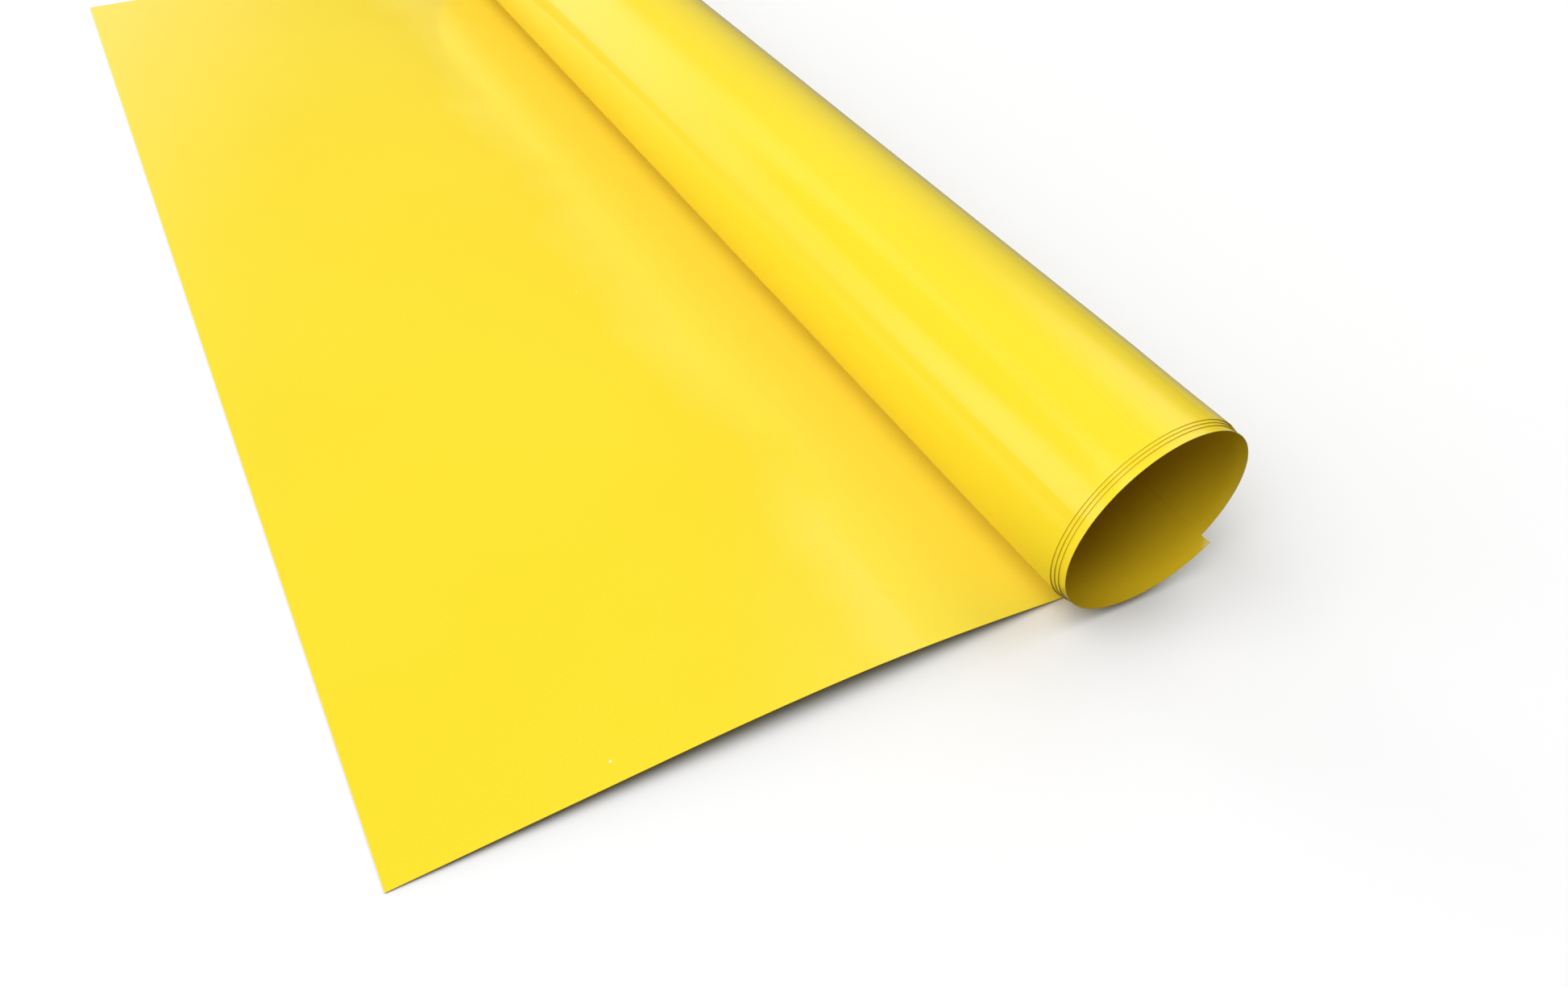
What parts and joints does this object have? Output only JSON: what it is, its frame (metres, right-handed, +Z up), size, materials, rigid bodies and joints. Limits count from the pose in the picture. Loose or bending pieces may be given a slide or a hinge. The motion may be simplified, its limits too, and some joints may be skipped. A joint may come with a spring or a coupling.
{
  "type": "roll of sign vinyl",
  "caption": "Self-adhesive vinyl film on a clear release liner, wound loosely with no core, its lead paid out flat, bowed and free to lift and peel at the end.",
  "frame": {"origin": "the middle of the footprint, on the table that the roll and the lead lie on", "axes": "+Y along the roll's axis and the width of the web, from the telescoped near end to the far end; +X from the lead's free edge towards the roll; +Z up"},
  "size_m": [0.2798, 0.6232, 0.0757],
  "materials": {
    "film": "satin-gloss yellow calendered vinyl",
    "liner": "clear polyester gloss over the yellow film"
  },
  "bodies": {
    "lead": {"lead_liner": "liner", "lead_film": "film"},
    "flap_backing": {"flap_liner": "liner", "flap_root_film": "film"},
    "flap_face": {"flap_film": "film"},
    "roll": {"outer_turn_liner": "liner", "outer_turn_film": "film"},
    "second_turn": {"second_turn_liner": "liner", "second_turn_film": "film"},
    "third_turn": {"third_turn_liner": "liner", "third_turn_film": "film"},
    "inner_turn": {"inner_turn_liner": "liner", "inner_turn_film": "film"}
  },
  "joints": [
    {"name": "roll_travel", "type": "slide", "parent": "lead", "child": "roll", "axis": [-1, 0, 0], "range_m": [0, 0.105], "deforming": ["lead_liner", "lead_film"]},
    {"name": "roll_spin", "type": "hinge", "parent": "roll", "child": "second_turn", "pos_m": [0.10207, 0, 0.038], "axis": [0, -1, 0], "range_deg": [0, 159]},
    {"name": "telescope", "type": "slide", "parent": "second_turn", "child": "third_turn", "axis": [0, -1, 0], "range_m": [0, 0.012]},
    {"name": "telescope_inner", "type": "slide", "parent": "third_turn", "child": "inner_turn", "axis": [0, -1, 0], "range_m": [0, 0.012]},
    {"name": "flap_lift", "type": "hinge", "parent": "lead", "child": "flap_backing", "pos_m": [-0.06993, 0, 0.0047], "axis": [0, 1, 0], "range_deg": [0, 40]},
    {"name": "film_peel", "type": "hinge", "parent": "flap_backing", "child": "flap_face", "pos_m": [-0.08993, 0, 0.00338], "axis": [0, 1, 0], "range_deg": [0, 90]}
  ],
  "couplings": [
    {"joint": "roll_spin", "follows": "roll_travel", "rad_per_m": 26.316},
    {"joint": "telescope_inner", "follows": "telescope", "ratio": 1}
  ]
}
